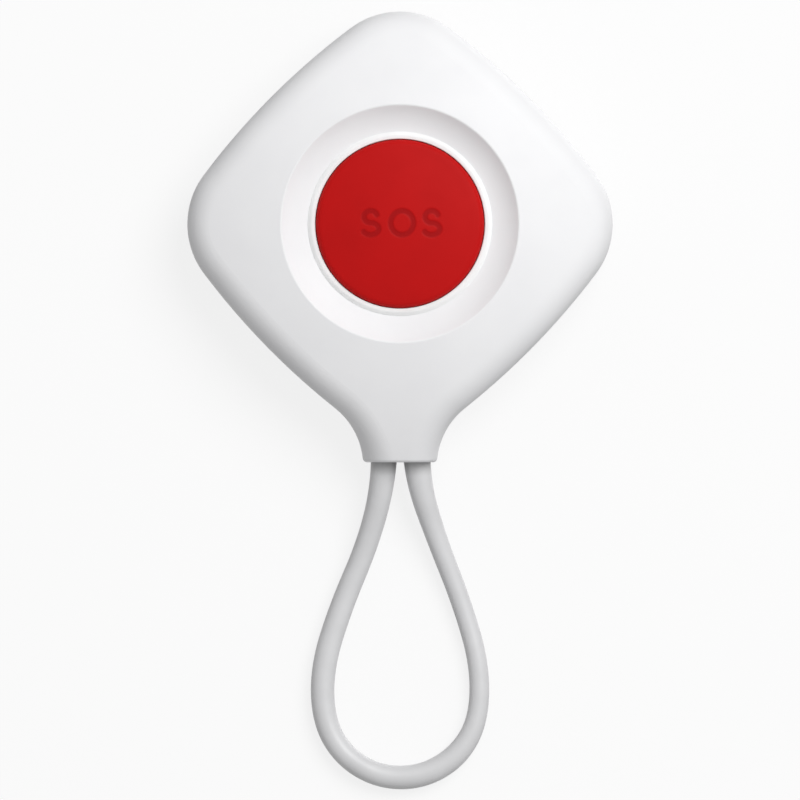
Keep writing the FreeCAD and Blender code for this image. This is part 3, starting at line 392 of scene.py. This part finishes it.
def turned(section, sectors):
    """Points and faces of an open section turned about Z, the first ring first."""
    turns = np.arange(sectors) * FULL_TURN / sectors
    rings = [np.column_stack([reach * np.cos(turns), reach * np.sin(turns), np.full(sectors, height)])
             for reach, height in section]
    faces = []
    for ring in range(len(section) - 1):
        faces += band(ring * sectors, (ring + 1) * sectors, sectors)
    return np.vstack(rings), faces


def turned_ring(section, sectors):
    """Points and faces of a closed section turned about Z."""
    points, faces = turned(section, sectors)
    return points, faces + band(len(points) - sectors, 0, sectors)


def turned_solid(section, sectors):
    """Points and faces of a section turned about Z; the section starts and ends on the axis."""
    points, faces = turned(section[1:-1], sectors)
    start, end = len(points), len(points) + 1
    last = start - sectors
    for side in range(sectors):
        following = (side + 1) % sectors
        faces += [(start, side, following), (last + following, last + side, end)]
    return np.vstack([points, [(0.0, 0.0, section[0][1]), (0.0, 0.0, section[-1][1])]]), faces


def box_solid(low, high):
    """Points and faces of a box between two corners."""
    points = [(x, y, z) for x in (low[0], high[0]) for y in (low[1], high[1]) for z in (low[2], high[2])]
    return points, [(0, 1, 3, 2), (4, 6, 7, 5), (0, 4, 5, 1), (2, 3, 7, 6), (0, 2, 6, 4), (1, 5, 7, 3)]


def place(tree, axis):
    """Where a point of the surface lies along one axis of the frame."""
    split = add(tree, "ShaderNodeSeparateXYZ")
    tree.links.new(add(tree, "ShaderNodeTexCoord").outputs["Object"], split.inputs[0])
    return split.outputs[axis]


def housing_finish(settings):
    """Semi-gloss white plastic with a fine dark seam where the two housings meet."""
    made, colour = moulded("housing_plastic", srgb(*settings.colour), srgb(*settings.shade),
                           settings.roughness, settings.gloss)
    tree = made.node_tree
    seam = calculate(tree, "COMPARE", place(tree, "Z"), PARTING_HEIGHT, settings.seam / 2)
    overlay(made, seam, srgb(*settings.seam_colour), colour)
    return made


def door_finish(settings):
    """The same plastic, with painted shade in the coin slot and down the door's edge."""
    made, colour = moulded("door_plastic", srgb(*settings.colour), srgb(*settings.shade),
                           settings.roughness, settings.gloss)
    # Painted shade on every face deeper than the door's outer face.
    shaded_recess_mask = calculate(made.node_tree, "GREATER_THAN", place(made.node_tree, "Z"),
                     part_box("battery_door")[0].z + DOOR_FACE)
    overlay(made, shaded_recess_mask, srgb(*settings.slot_colour), colour)
    return made


def ellipse_arc(centre, reach, rise, start, stop, count=40):
    """Points along part of an ellipse between two angles in degrees."""
    turns = np.radians(np.linspace(start, stop, count))
    return np.column_stack([centre[0] + reach * np.cos(turns), centre[1] + rise * np.sin(turns)])


def letter_strokes(settings):
    """Middle lines of a plain geometric S, O and S in a row."""
    across, up = WORD_PLACE
    half = (settings.letter_height - settings.stroke) / 2
    bowl = half / 2
    strokes = [ellipse_arc((across + ROUND_SHIFT, up), ROUND_LETTER * half, half, 0, 360, count=90)]
    for middle in (across - settings.letter_spacing, across + settings.letter_spacing):
        strokes.append(ellipse_arc((middle, up + bowl), UPPER_BOWL * half, bowl, 20, 270))
        strokes.append(ellipse_arc((middle, up - bowl), LOWER_BOWL * half, bowl, 90, -150))
    return np.vstack(strokes)


def pressed_in(points, settings):
    """How far each point lies in the letters, from 0 outside to 1 on their floor."""
    strokes = letter_strokes(settings)
    share = np.zeros(len(points))
    inside = np.hypot(points[:, 0], points[:, 1]) < LETTERED_REACH
    gaps = np.linalg.norm(points[inside, None, :2] - strokes[None], axis=2).min(1)
    edge = settings.letter_edge
    share[inside] = np.clip((settings.stroke / 2 + edge / 2 - gaps) / edge, 0, 1)
    return share * share * (3 - 2 * share)


def cap_section(settings):
    """Section of the cap from the middle of the dome, over the rim, down and back under to the axis."""
    top, low = CAP_HIGH.z, CAP_LOW.z
    radius, dome, rounding = settings.radius, settings.dome, settings.rounding
    sphere = (radius ** 2 + dome ** 2) / (2 * dome)
    sphere_middle = top - sphere
    rim_reach = radius - rounding
    rim_middle = sphere_middle + math.sqrt((sphere - rounding) ** 2 - rim_reach ** 2)
    rim_start = math.atan2(rim_middle - sphere_middle, rim_reach)
    dome_reach = sphere * math.cos(rim_start)
    reaches = [*np.linspace(0, LETTERED_REACH, LETTERED_RINGS),
               *np.linspace(LETTERED_REACH, dome_reach, SLOPE_RINGS)[1:]]
    section = [(reach, sphere_middle + math.sqrt(sphere ** 2 - reach ** 2)) for reach in reaches]
    for angle in np.linspace(rim_start, 0, RIM_RINGS)[1:]:
        section.append((rim_reach + rounding * math.cos(angle), rim_middle + rounding * math.sin(angle)))
    ledge, flange = low + settings.flange, CAP_HIGH.x
    inner, under = radius - settings.skirt, top - settings.plate
    return section + [(radius, ledge), (flange, ledge), (flange, low), (inner, low), (inner, under),
                      (settings.post, under), (settings.post, STEM_TOP), (0, STEM_TOP)]


def engraved_cap(settings):
    """The push cap with its letters pressed into the dome and its two ribs underneath."""
    points, faces = turned_solid(cap_section(settings), CAP_SECTORS)
    on_top = points[:, 2] > CAP_HIGH.z - settings.dome
    mask = np.where(on_top, pressed_in(points, settings), 0.0)
    points[:, 2] -= mask * settings.letter_depth
    under = CAP_HIGH.z - settings.plate
    long_half, short_half = settings.radius - settings.skirt / 2, settings.rib_width / 2
    for across, along in ((long_half, short_half), (short_half, long_half)):
        corners, sides = box_solid((-across, -along, under - settings.rib_height),
                                   (across, along, under + settings.plate / 3))
        faces += [tuple(number + len(points) for number in side) for side in sides]
        points = np.vstack([points, corners])
    piece = as_mesh("engraved_cap", points, faces)
    pressed = piece.data.attributes.new("pressed", "FLOAT", "POINT")
    pressed.data.foreach_set("value", np.pad(mask, (0, len(points) - len(mask))).astype(np.float32))
    return piece


def cap_finish(settings):
    """Satin red plastic, darker in the pressed letters."""
    dimmed = srgb(*(0.965 * value for value in settings.colour))
    made, colour = moulded("cap_plastic", srgb(*settings.colour), dimmed, settings.roughness, settings.gloss,
                           Grain_Size=0.2 * MM)
    pressed = add(made.node_tree, "ShaderNodeAttribute", {"attribute_name": "pressed"})
    overlay(made, pressed.outputs["Fac"], srgb(*settings.engraved), colour)
    return made


def milky_collar(settings):
    """The collar with a rounded lip beside the cap and a soft slope down to the dish."""
    low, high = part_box("light_ring")
    lip = settings.rounding
    inside = ellipse_arc((settings.bore + lip, high.z - lip), lip, lip, 180, 90, count=9)
    share = np.linspace(0, 1, 17)
    outside = np.column_stack([settings.radius - settings.slope * (1 - share),
                               high.z - settings.drop * share ** 2 * (2 - share)])
    ledge = low.z + settings.flange
    section = [*inside, *outside, (settings.radius, ledge), (high.x, ledge),
               (high.x, low.z), (settings.bore, low.z)]
    return as_mesh("milky_collar", *turned_ring(section, CAP_SECTORS))


def strap_curve(settings):
    """The strap as one smooth curve through its route, thick as it is at each point."""
    curve = bpy.data.curves.new("wrist_strap", "CURVE")
    curve.dimensions = "3D"
    curve.resolution_u = 24
    curve.bevel_depth = settings.diameter / 2
    curve.bevel_resolution = 8
    curve.use_fill_caps = True
    spline = curve.splines.new("NURBS")
    spline.points.add(len(STRAP_ROUTE) - 1)
    for point, (x, y, z, thickness) in zip(spline.points, STRAP_ROUTE):
        point.co = (x * MM, y * MM, z * MM, 1.0)
        point.radius = thickness
    spline.order_u = 3
    spline.use_endpoint_u = True
    return in_scene("wrist_strap", curve)


def strap_finish(settings):
    """Satin white rubber, with painted shade that greys it where it comes out of the neck."""
    dimmed = srgb(*(0.975 * value for value in settings.colour))
    made, colour = moulded("strap_rubber", srgb(*settings.colour), dimmed, settings.roughness,
                           Grain_Size=0.15 * MM, Cloud_Size=5 * MM)
    tree = made.node_tree
    # Painted shade, fading out along the strap from the neck's end.
    neck_shade_mask = spread(tree, place(tree, "Y"), STRAP_EXIT[1] - settings.dirt_reach, STRAP_EXIT[1])
    overlay(made, neck_shade_mask, srgb(*settings.dirt), colour)
    return made


def board_finish():
    """Green solder mask with paler tracks under it."""
    fields_per_metre, track_share = 380.0, 0.06
    made, colour = moulded("board_laminate", *paint_colours("board", 0.82))
    tree = made.node_tree
    cells = add(tree, "ShaderNodeTexVoronoi", {"feature": "DISTANCE_TO_EDGE"}, Scale=fields_per_metre)
    tree.links.new(add(tree, "ShaderNodeTexCoord").outputs["Object"], cells.inputs["Vector"])
    tracks = calculate(tree, "LESS_THAN", cells.outputs["Distance"], track_share)
    overlay(made, tracks, srgb(0.12, 0.42, 0.2), colour)
    return made


def seen_directly(tree):
    """1 for a camera, glossy or transmission ray, and 0 for the light that falls on the object."""
    path = add(tree, "ShaderNodeLightPath").outputs
    direct = calculate(tree, "MAXIMUM", path["Is Camera Ray"], path["Is Glossy Ray"])
    return calculate(tree, "MAXIMUM", direct, path["Is Transmission Ray"])


def studio_camera(settings):
    """Camera that looks straight down, with the case's far tip at the top of the picture."""
    camera = bpy.data.cameras.new("camera")
    camera.lens = settings.lens
    camera.clip_end = 10.0
    distance = camera.lens * settings.view_span / camera.sensor_width
    holder = in_scene("camera", camera)
    holder.location = (0.0, settings.view_middle, settings.focus_height + distance)
    bpy.context.scene.camera = holder


def studio_lamp(settings, name, power, rise):
    """Large round lamp at the upper right, above or below the horizon, that shines on the button."""
    lamp = bpy.data.lights.new(name, "AREA")
    lamp.shape = "DISK"
    lamp.size = settings.lamp_size
    lamp.energy = power
    level, turn = math.cos(rise), settings.lamp_turn
    towards = Vector((level * math.cos(turn), level * math.sin(turn), math.sin(rise)))
    holder = in_scene(name, lamp)
    holder.location = Vector((0.0, 0.0, settings.focus_height)) + settings.lamp_reach * towards
    holder.rotation_euler = towards.to_track_quat("Z", "Y").to_euler()


def studio_floor(settings):
    """Plain pale floor that is seen as white, keeps the object's shadow and is clear from below."""
    corners = [(-FLOOR_REACH, -FLOOR_REACH, 0), (FLOOR_REACH, -FLOOR_REACH, 0),
               (FLOOR_REACH, FLOOR_REACH, 0), (-FLOOR_REACH, FLOOR_REACH, 0)]
    floor = as_mesh("studio_floor", corners, [(0, 1, 2, 3)])
    floor.location.z = -FLOOR_DROP
    made = bpy.data.materials.new("floor_paint")
    made.use_nodes = True
    tree = made.node_tree
    paper = tree.nodes["Principled BSDF"]
    paper.inputs["Base Color"].default_value = srgb(0.93, 0.93, 0.93)
    paper.inputs["Roughness"].default_value = 0.9
    paper.inputs["Specular IOR Level"].default_value = 0.0
    glow = add(tree, "ShaderNodeEmission", Strength=1.0)
    above = calculate(tree, "SUBTRACT", 1.0, add(tree, "ShaderNodeNewGeometry").outputs["Backfacing"])
    shown = calculate(tree, "MULTIPLY", seen_directly(tree), above)
    white = shader_mix(tree, settings.floor_glow, paper, glow)
    surface = shader_mix(tree, shown, add(tree, "ShaderNodeBsdfTransparent"), white)
    tree.links.new(surface.outputs[0], tree.nodes["Material Output"].inputs["Surface"])
    floor.data.materials.append(made)


def studio_sky(settings):
    """Soft light from above and less from below, with plain white where the sky itself is seen."""
    world = bpy.data.worlds.new("studio_sky")
    world.use_nodes = True
    bpy.context.scene.world = world
    tree = world.node_tree
    tree.nodes.clear()
    direction = add(tree, "ShaderNodeSeparateXYZ")
    tree.links.new(add(tree, "ShaderNodeTexCoord").outputs["Generated"], direction.inputs[0])
    around = add(tree, "ShaderNodeBackground", Color=WHITE)
    strength = spread(tree, direction.outputs["Z"], GROUND_END, SKY_START, settings.ground, settings.sky)
    tree.links.new(strength, around.inputs["Strength"])
    surface = shader_mix(tree, seen_directly(tree), around, add(tree, "ShaderNodeBackground", Color=WHITE))
    tree.links.new(surface.outputs[0], add(tree, "ShaderNodeOutputWorld").inputs["Surface"])


class PANIC_BUTTON_OT_stage(bpy.types.Operator):
    """Set up the camera, the lamps, the floor and the sky"""

    bl_idname = "panic_button.stage"
    bl_label = "Stage"

    def execute(self, context):
        settings = context.scene.stage_settings
        context.scene.view_settings.view_transform = "Standard"
        studio_camera(settings)
        studio_lamp(settings, "key_lamp", settings.lamp_power, settings.lamp_rise)
        studio_lamp(settings, "fill_lamp", settings.fill_power, -settings.lamp_rise)
        studio_floor(settings)
        studio_sky(settings)
        return {"FINISHED"}


class PANIC_BUTTON_OT_strap(bpy.types.Operator):
    """Lay the strap in its loop"""

    bl_idname = "panic_button.strap"
    bl_label = "Strap"

    def execute(self, context):
        settings = context.scene.strap_settings
        strap = strap_curve(settings)
        material = strap_finish(settings)
        strap.data.materials.append(material)
        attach(strap, "case")
        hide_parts("strap_loop")
        paint(material, "strap_anchor")
        return {"FINISHED"}


class PANIC_BUTTON_OT_housings(bpy.types.Operator):
    """Finish the front and back housings and the battery door"""

    bl_idname = "panic_button.housings"
    bl_label = "Housings"

    def execute(self, context):
        settings = context.scene.housing_settings
        paint(housing_finish(settings), "front_cover", "rear_cover")
        paint(door_finish(settings), "battery_door")
        return {"FINISHED"}


class PANIC_BUTTON_OT_cap(bpy.types.Operator):
    """Make the red cap with its pressed letters"""

    bl_idname = "panic_button.cap"
    bl_label = "Cap"

    def execute(self, context):
        settings = context.scene.cap_settings
        cap = engraved_cap(settings)
        cap.data.materials.append(cap_finish(settings))
        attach(cap, "button")
        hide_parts("button_cap")
        return {"FINISHED"}


class PANIC_BUTTON_OT_collar(bpy.types.Operator):
    """Make the milky collar round the cap"""

    bl_idname = "panic_button.collar"
    bl_label = "Collar"

    def execute(self, context):
        collar = milky_collar(context.scene.collar_settings)
        collar.data.materials.append(
            moulded("collar_plastic", *paint_colours("light_guide", 0.97), roughness=0.3, gloss=0.12)[0])
        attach(collar, "case")
        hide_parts("light_ring")
        return {"FINISHED"}


class PANIC_BUTTON_OT_seals(bpy.types.Operator):
    """Finish the gasket and the door's ring"""

    bl_idname = "panic_button.seals"
    bl_label = "Seals"

    def execute(self, context):
        rubber = moulded("seal_rubber", *paint_colours("seal_rubber", 0.8), roughness=0.66)[0]
        paint(rubber, "case_seal", "door_seal")
        return {"FINISHED"}


class PANIC_BUTTON_OT_screws(bpy.types.Operator):
    """Finish the case screws, with painted shade in their recesses"""

    bl_idname = "panic_button.screws"
    bl_label = "Screws"

    def execute(self, context):
        steel, colour = metal("screw_steel", *paint_colours("screw_steel", 0.8))
        tree = steel.node_tree
        # Painted shade: darker steel on every face deeper than the screw heads' outer faces.
        recess_shade_mask = calculate(tree, "GREATER_THAN", place(tree, "Z"),
                           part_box("case_screws")[0].z + SCREW_FACE)
        overlay(steel, recess_shade_mask, paint_colours("screw_steel", 0.35)[1], colour)
        paint(steel, "case_screws")
        return {"FINISHED"}


class PANIC_BUTTON_OT_battery(bpy.types.Operator):
    """Finish the cell, its holder and its contacts"""

    bl_idname = "panic_button.battery"
    bl_label = "Battery"

    def execute(self, context):
        paint(metal("cell_steel", *paint_colours("cell_steel", 0.85))[0], "coin_cell")
        spring = metal("contact_metal", *paint_colours("contact_metal", 0.85))[0]
        paint(spring, "battery_contact_plus", "battery_contact_minus")
        black = moulded("black_plastic", *paint_colours("black_plastic", 0.7), roughness=0.52)[0]
        paint(black, "battery_holder")
        return {"FINISHED"}


class PANIC_BUTTON_OT_electronics(bpy.types.Operator):
    """Finish the board and what it carries"""

    bl_idname = "panic_button.electronics"
    bl_label = "Electronics"

    def execute(self, context):
        paint(board_finish(), "circuit_board")
        by_slot = {}
        for name in ("switch_body", "switch_plunger", "antenna", "controller_chip", "crystal", "radio_module",
                     "reservoir_capacitor", "status_led_red", "status_led_green"):
            by_slot.setdefault(SLOTS[name], []).append(name)
        for slot, names in by_slot.items():
            maker = metal if slot in ("contact_metal", "cell_steel", "screw_steel") else moulded
            paint(maker(f"component_{slot}", *paint_colours(slot, 0.86))[0], *names)
        return {"FINISHED"}


STEPS = (PANIC_BUTTON_OT_stage, PANIC_BUTTON_OT_strap, PANIC_BUTTON_OT_housings, PANIC_BUTTON_OT_cap,
         PANIC_BUTTON_OT_collar, PANIC_BUTTON_OT_seals, PANIC_BUTTON_OT_screws, PANIC_BUTTON_OT_battery,
         PANIC_BUTTON_OT_electronics)
SETTINGS = {"housing_settings": HousingSettings, "cap_settings": CapSettings,
            "collar_settings": CollarSettings, "strap_settings": StrapSettings,
            "stage_settings": StageSettings}


class PANIC_BUTTON_PT_tools(bpy.types.Panel):
    """Sizes, colours and steps of the panic button"""

    bl_idname = "PANIC_BUTTON_PT_tools"
    bl_label = "Panic Button"
    bl_space_type = "VIEW_3D"
    bl_region_type = "UI"
    bl_category = "Panic Button"

    def draw(self, context):
        for name, kind in SETTINGS.items():
            box = self.layout.box()
            box.label(text=kind.__doc__)
            for title in kind.__annotations__:
                box.prop(getattr(context.scene, name), title)
        for step in STEPS:
            self.layout.operator(step.bl_idname)


def register():
    for kind in (*SETTINGS.values(), *STEPS, PANIC_BUTTON_PT_tools):
        bpy.utils.register_class(kind)
    for name, kind in SETTINGS.items():
        setattr(bpy.types.Scene, name, PointerProperty(type=kind))


def unregister():
    for name in SETTINGS:
        delattr(bpy.types.Scene, name)
    for kind in (PANIC_BUTTON_PT_tools, *reversed(STEPS), *SETTINGS.values()):
        bpy.utils.unregister_class(kind)


def main():
    register()
    bpy.ops.panic_button.stage()
    bpy.ops.panic_button.strap()
    bpy.ops.panic_button.housings()
    bpy.ops.panic_button.cap()
    bpy.ops.panic_button.collar()
    bpy.ops.panic_button.seals()
    bpy.ops.panic_button.screws()
    bpy.ops.panic_button.battery()
    bpy.ops.panic_button.electronics()


if __name__ == "__main__":
    main()
